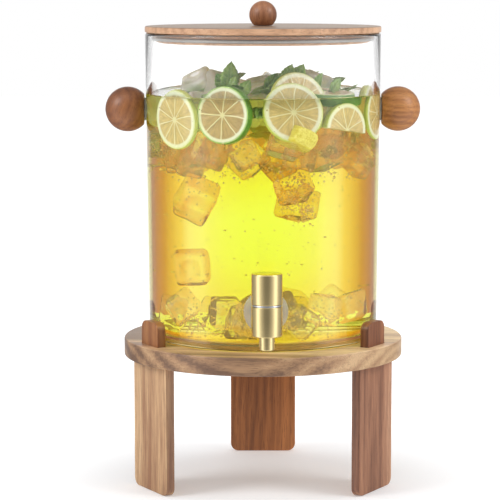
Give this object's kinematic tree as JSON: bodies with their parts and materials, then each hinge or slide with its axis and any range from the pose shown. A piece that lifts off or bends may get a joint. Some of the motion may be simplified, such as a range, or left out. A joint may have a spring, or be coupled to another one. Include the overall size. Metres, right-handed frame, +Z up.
{
  "type": "beverage dispenser",
  "caption": "Cylindrical glass drink dispenser with a wooden lid, ball handles and a turning tap, standing on a round wooden board with plank legs.",
  "frame": {"origin": "on the surface it stands on, under the middle of the bounding box", "axes": "+Z up; the tap points to -Y, which is the front; +X is to the right when the tap faces the viewer"},
  "size_m": [0.271, 0.2628, 0.4149],
  "materials": {
    "board_wood": "oiled, satin",
    "left_leg_wood": "oiled, satin, light sapwood",
    "right_leg_wood": "oiled, satin, with a light sapwood strip",
    "rear_leg_wood": "oiled, satin, dark heartwood",
    "lid_wood": "oiled, satin",
    "dark_ball_wood": "oiled, semi-gloss",
    "light_ball_wood": "oiled, semi-gloss",
    "clear_glass": "clear, polished",
    "brushed_brass": "brushed, pale gold",
    "steel": "satin",
    "silicone": "translucent, pale",
    "black_rubber": "matt"
  },
  "bodies": {
    "stand": {"stand_board": "board_wood", "leg_front_left": "left_leg_wood", "leg_front_right": "right_leg_wood", "leg_rear": "rear_leg_wood"},
    "jar": {"glass_jar": "clear_glass", "handle_ball_left": "dark_ball_wood", "handle_outer_washer_left": "silicone", "handle_inner_washer_left": "silicone", "handle_plate_left": "steel", "handle_insert_left": "brushed_brass", "handle_screw_left": "steel", "handle_ball_right": "light_ball_wood", "handle_outer_washer_right": "silicone", "handle_inner_washer_right": "silicone", "handle_plate_right": "steel", "handle_insert_right": "brushed_brass", "handle_screw_right": "steel", "tap_body": "brushed_brass", "tap_spout": "brushed_brass", "tap_ring": "steel", "tap_outer_washer": "silicone", "tap_inner_washer": "silicone", "tap_plate_washer": "steel", "tap_nut": "brushed_brass", "tap_shank": "brushed_brass"},
    "tap_handle": {"tap_cap": "brushed_brass", "tap_set_screw": "steel", "tap_spindle": "brushed_brass", "valve_seal_lower": "black_rubber", "valve_seal_upper": "black_rubber"},
    "lid": {"lid_disc": "lid_wood", "lid_plug": "lid_wood", "lid_seal": "silicone", "lid_knob": "dark_ball_wood", "lid_knob_washer": "steel", "lid_knob_screw": "steel"}
  },
  "joints": [
    {"name": "jar_lift", "type": "slide", "parent": "stand", "child": "jar", "axis": [0, 0, 1], "range_m": [0, 0.08]},
    {"name": "lid_lift", "type": "slide", "parent": "jar", "child": "lid", "axis": [0, 0, 1], "range_m": [0, 0.1]},
    {"name": "tap_turn", "type": "hinge", "parent": "jar", "child": "tap_handle", "pos_m": [0.00316, -0.11868, 0.161], "axis": [0, 0, 1], "range_deg": [0, 90]}
  ]
}
